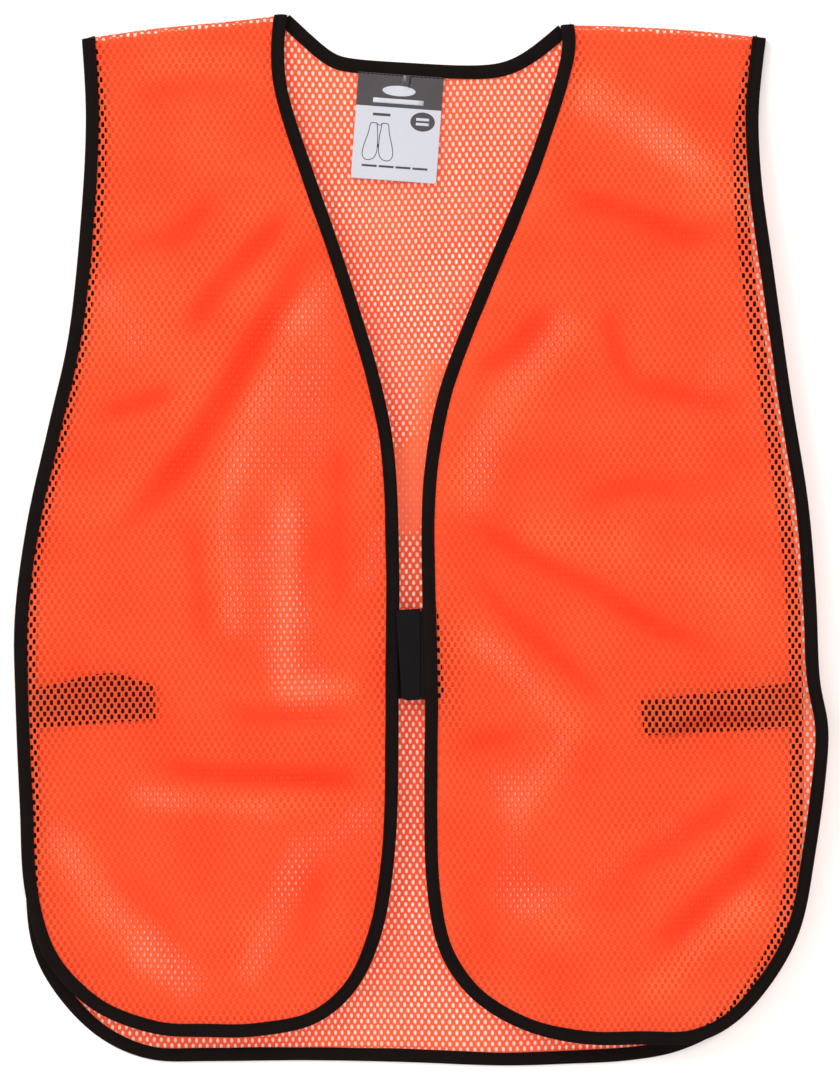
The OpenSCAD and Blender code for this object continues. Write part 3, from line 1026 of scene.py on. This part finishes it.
def mesh_material():
    """Fluorescent orange knit: rounded strands between the holes, yarn loops, painted shade and painted
    light from its tone, and a faint painted glow.
    """
    mat, node, link, shader = new_material("orange_mesh")
    uv = node("ShaderNodeUVMap", uv_map="UVMap").outputs[0]
    split = node("ShaderNodeSeparateXYZ", {0: uv})
    u, v = split.outputs[0], split.outputs[1]
    cos_u = calc(node, "COSINE", calc(node, "MULTIPLY", u, math.tau))
    cos_v = calc(node, "COSINE", calc(node, "MULTIPLY", v, math.pi))
    hole = calc(node, "MULTIPLY", cos_u, cos_v)
    strand = calc(node, "SUBTRACT", 1.0, calc(node, "MAXIMUM", hole, -0.2))
    place = node("ShaderNodeTexCoord").outputs["Object"]
    yarn = node("ShaderNodeTexNoise", {"Vector": place, "Scale": 1500.0, "Detail": 2.0}).outputs[0]
    loops = calc(node, "SINE", calc(node, "MULTIPLY", v, math.tau * 5))
    loops = calc(node, "MULTIPLY", loops, 0.12)
    height = calc(node, "ADD", strand, calc(node, "ADD", loops, yarn))
    bump = node("ShaderNodeBump", {"Height": height, "Strength": 0.35, "Distance": 0.0004})
    link(bump.outputs[0], shader.inputs["Normal"])
    drift = node("ShaderNodeTexNoise", {"Vector": place, "Scale": 14.0, "Detail": 2.0}).outputs[0]
    # Tone attribute: random tone with painted shade in creases and painted light on swellings
    shade_tone = node("ShaderNodeAttribute", attribute_name="tone").outputs["Fac"]
    drift = calc(node, "MULTIPLY", calc(node, "SUBTRACT", drift, 0.5), 0.5)
    shift = calc(node, "ADD", shade_tone, drift)
    # Share toward the lit tone: random drift with the painted shade and painted light of the tone
    lit_tone = calc(node, "MULTIPLY_ADD", shift, 0.5, 0.5, clamp=True)
    # Painted shade at the rims of the holes
    rim = calc(node, "MULTIPLY", calc(node, "MAXIMUM", hole, 0.0), 0.8)
    front = toned(node, lit_tone, rim, (0.85, 0.053, 0.011), (0.85, 0.160, 0.048))
    link(front, shader.inputs["Base Color"])
    fill(shader, Roughness=0.72, Specular_IOR_Level=0.2, Sheen_Weight=0.1)
    # Painted glow: a faint red emission for the fluorescent dye, pinker and stronger where the painted
    # tone is lit
    glow_share = calc(node, "MULTIPLY_ADD", shift, 0.5, -0.6, clamp=True)
    painted_glow = blend_colours(node, glow_share, (1.0, 0.010, 0.001), (1.0, 0.245, 0.24))
    link(painted_glow, shader.inputs["Emission Color"])
    link(calc(node, "MULTIPLY_ADD", glow_share, 0.2, 0.12), shader.inputs["Emission Strength"])
    glow = node("ShaderNodeBsdfTranslucent")
    # The translucent colour carries the same painted shade and painted light
    link(toned(node, lit_tone, rim, (0.9, 0.11, 0.045), (0.9, 0.27, 0.15)), glow.inputs[0])
    cloth = node("ShaderNodeMixShader", {0: 0.45})
    link(shader.outputs[0], cloth.inputs[1])
    link(glow.outputs[0], cloth.inputs[2])
    fuzz = node("ShaderNodeMapRange", {0: hole}, interpolation_type="SMOOTHSTEP")
    fill(fuzz, From_Min=0.02, From_Max=0.2, To_Max=0.85)
    edge = node("ShaderNodeMixShader", {0: fuzz.outputs[0]})
    link(cloth.outputs[0], edge.inputs[1])
    gauze = node("ShaderNodeBsdfTransparent", {0: (1.0, 0.62, 0.50, 1)})
    link(gauze.outputs[0], edge.inputs[2])
    link(edge.outputs[0], mat.node_tree.nodes["Material Output"].inputs[0])
    return mat


def tape_material(name, colour, rib, strength, roughness=0.8):
    """Black woven tape: ribs across it, threads along it, and a faint grey bloom on its wear."""
    mat, node, link, shader = new_material(name)
    uv = node("ShaderNodeUVMap", uv_map="UVMap").outputs[0]
    split = node("ShaderNodeSeparateXYZ", {0: uv})
    along = calc(node, "SINE", calc(node, "MULTIPLY", split.outputs[0], math.tau / rib))
    over = calc(node, "SINE", calc(node, "MULTIPLY", split.outputs[1], math.tau / rib))
    weave = calc(node, "MULTIPLY", along, over)
    place = node("ShaderNodeTexCoord").outputs["Object"]
    fuzz = node("ShaderNodeTexNoise", {"Vector": place, "Scale": 2200.0, "Detail": 3.0}).outputs[0]
    height = calc(node, "ADD", weave, fuzz)
    bump = node("ShaderNodeBump", {"Height": height, "Strength": strength, "Distance": 0.0003})
    link(bump.outputs[0], shader.inputs["Normal"])
    wear = node("ShaderNodeTexNoise", {"Vector": place, "Scale": 60.0, "Detail": 4.0}).outputs[0]
    tone = blend_colours(node, wear, colour, [c * 1.7 for c in colour])
    link(tone, shader.inputs["Base Color"])
    fill(shader, Roughness=roughness, Specular_IOR_Level=0.08)
    return mat


def plain_material(name, colour, roughness, noise_scale, strength, specular=0.4):
    """Even printed or coated surface with a fine grain."""
    mat, node, link, shader = new_material(name)
    place = node("ShaderNodeTexCoord").outputs["Object"]
    grain = node("ShaderNodeTexNoise", {"Vector": place, "Scale": noise_scale, "Detail": 3.0})
    bump = node("ShaderNodeBump", {"Height": grain.outputs[0], "Strength": strength,
                                   "Distance": 0.0002})
    link(bump.outputs[0], shader.inputs["Normal"])
    tone = blend_colours(node, grain.outputs[0], colour, [c * 0.93 for c in colour])
    link(tone, shader.inputs["Base Color"])
    fill(shader, Roughness=roughness, Specular_IOR_Level=specular)
    return mat


def floor_material():
    """Plain white table, lit from below as well, so that it stays white under the open mesh."""
    mat, node, link, shader = new_material("table")
    fill(shader, Base_Color=(0.90, 0.85, 0.82, 1), Roughness=0.9)
    fill(shader, Emission_Color=(1, 1, 1, 1), Emission_Strength=0.05)
    return mat


# -------- camera, floor and light


def make_camera():
    """Camera straight above, with a long lens, so that the photograph's frame just fits."""
    frame_height = 617.1 * MM
    camera = bpy.data.cameras.new("camera")
    camera.lens = 200
    camera.sensor_width = 36
    camera.clip_end = 20
    rig = bpy.data.objects.new("camera", camera)
    distance = frame_height * camera.lens / camera.sensor_width
    rig.location = (-0.0003, -0.0009, 0.01 + distance)
    bpy.context.scene.collection.objects.link(rig)
    bpy.context.scene.camera = rig


def make_floor():
    half = 3.0
    floor = make_mesh("floor", [(-half, -half, 0), (half, -half, 0), (half, half, 0),
                                (-half, half, 0)], [(0, 1, 2, 3)])
    floor.location.z = -0.0002
    floor.data.materials.append(floor_material())


def area_light(name, at, size, power):
    light = bpy.data.lights.new(name, "AREA")
    light.shape = "SQUARE"
    light.size = size
    light.energy = power
    lamp = bpy.data.objects.new(name, light)
    lamp.location = at
    direction = -np.array(at)
    lamp.rotation_euler = (math.acos(-direction[2] / np.linalg.norm(direction)), 0,
                           math.atan2(direction[1], direction[0]) - math.pi / 2)
    bpy.context.scene.collection.objects.link(lamp)


def make_light():
    """Large soft key from the upper left, a weaker one from the right, and a bright room."""
    area_light("key", (-2.1, 1.8, 1.6), 1.8, 85)
    area_light("overhead", (0.5, -0.4, 2.9), 2.6, 14)
    world = bpy.data.worlds.new("room")
    world.use_nodes = True
    world.node_tree.nodes["Background"].inputs[0].default_value = (1, 1, 1, 1)
    world.node_tree.nodes["Background"].inputs[1].default_value = 1.05
    bpy.context.scene.world = world
    bpy.context.scene.view_settings.view_transform = "Standard"


# -------- the pieces


def dress(piece, material, replaced):
    """Gives a piece its material and hides the CAD nodes that it stands in for."""
    piece.data.materials.append(material)
    if replaced:
        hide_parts(*replaced)
    return piece


def bend_at_fold(piece, front):
    """Bakes the piece's placement into its mesh. The way out from the fold line is worked out but not
    used, so the piece doesn't bend at the fold.
    """
    at = np.array(front["joint"]["pos_m"])
    axis = np.array(front["joint"]["axis"])
    out = np.cross(axis, (0, 0, 1))
    out /= np.linalg.norm(out)
    if out[0] * at[0] > 0:
        out = -out
    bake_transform(piece)


def build_back(materials):
    cloth = perforated("back_mesh", keep_back, on_back, BACK_TONE, shut=drawn_shut)
    dress(cloth, materials["mesh"], ["back_panel"])
    outer = resampled(BACK_RUNS[0], TAPE_STEP)
    tape = dress(folded_tape("back_tape", outer, on_back), materials["tape"],
                 ["back_binding"])
    neck = resampled(BACK_RUNS[1], TAPE_STEP)
    neck_tape = dress(folded_tape("neck_tape", neck, on_back, 1.05), materials["tape"],
                      ["neck_binding"])
    thread = dress(stitches("back_thread", outer, on_back), materials["thread"],
                   ["back_stitching"])
    neck_thread = dress(stitches("neck_thread", neck, on_back), materials["thread"],
                        ["neck_stitching"])
    for piece in (cloth, tape, neck_tape, thread, neck_thread):
        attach(piece, "vest_body")


def build_front(front, materials, aligned, seed):
    side = front["side"]

    def place(x, y, lift=0.0):
        return on_front(front, x, y, lift)

    cloth = perforated(side + "_mesh", keep_front(front), place, front["tone"],
                       over_back(aligned, seed))
    dress(cloth, materials["mesh"],
          [side + "_side_panel", side + "_front_panel", side + "_shoulder_fold"])
    edge = front_edge(front)
    tape = dress(folded_tape(side + "_tape", edge, place), materials["tape"],
                 [side + "_side_binding", side + "_front_binding"])
    thread = dress(stitches(side + "_thread", resampled(front["bound"], TAPE_STEP), place),
                   materials["thread"],
                   [side + "_side_stitching", side + "_front_stitching"])
    for piece in (cloth, tape, thread):
        bend_at_fold(piece, front)
    size = np.ptp(front["outline"], axis=0)
    area_of(front["outline"])


def build_straps(materials):
    """Both straps: side, front, place of the fold, way out, length, tilt of each leg, and bow."""
    straps = (("left", LEFT, (-150 * MM, -93.5 * MM), -1, 73 * MM, (-4, -2), 7.5 * MM),
              ("right", RIGHT, (126 * MM, -103 * MM), 1, 92 * MM, (3, 7), 0))
    for side, front, fold_at, outward, leg, tilts, rise in straps:
        strap = side_strap(side + "_elastic", front, fold_at, outward, leg, tilts, rise)
        dress(strap, materials["elastic"], [side + "_side_strap"])
        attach(strap, "vest_body")
    rows = []
    for _, _, fold_at, outward, leg, tilts, _ in straps:
        turn = math.radians(tilts[0])
        ahead = np.array([math.cos(turn) * outward, math.sin(turn)])
        across = np.array([-ahead[1], ahead[0]])
        for back in (2.5 * MM, 6.5 * MM):
            mid = np.array(fold_at) + ahead * (leg - back)
            rows.append(thread_row("row", [mid - across * 9 * MM, mid + across * 9 * MM],
                                   lambda x, y, z: on_back(x, y, z + 1.3 * MM)))
    thread = dress(joined("strap_thread", rows), materials["thread"],
                   ["strap_stitching"])
    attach(thread, "vest_body")


def main():
    materials = {
        "mesh": mesh_material(),
        "tape": tape_material("binding_tape", (0.0036, 0.0016, 0.0013), 0.0006, 0.5),
        "thread": plain_material("black_thread", (0.005, 0.003, 0.003), 0.8, 3000.0, 0.4, 0.08),
        # The elastic is black; its dark red is a painted red cast from the orange mesh over it
        "elastic": tape_material("red_cast_elastic", (0.026, 0.0024, 0.0018), 0.0012, 0.7),
        "tape_weave": tape_material("closure_weave", (0.0047, 0.0034, 0.0039), 0.0008, 0.6),
        "nylon": plain_material("black_nylon", (0.006, 0.005, 0.006), 0.45, 2000.0, 0.2),
        "label": plain_material("label_white", (0.46, 0.46, 0.505), 0.5, 700.0, 0.25),
        "label_grey": plain_material("label_print_grey", (0.040, 0.033, 0.036), 0.3, 900.0, 0.2),
    }
    make_camera()
    make_floor()
    make_light()
    build_back(materials)
    build_front(LEFT, materials, LEFT_OPEN, 21)
    build_front(RIGHT, materials, RIGHT_OPEN, 31)
    build_straps(materials)
    build_hook_tape(materials)
    build_loop_tape(materials)
    build_label(materials)


main()
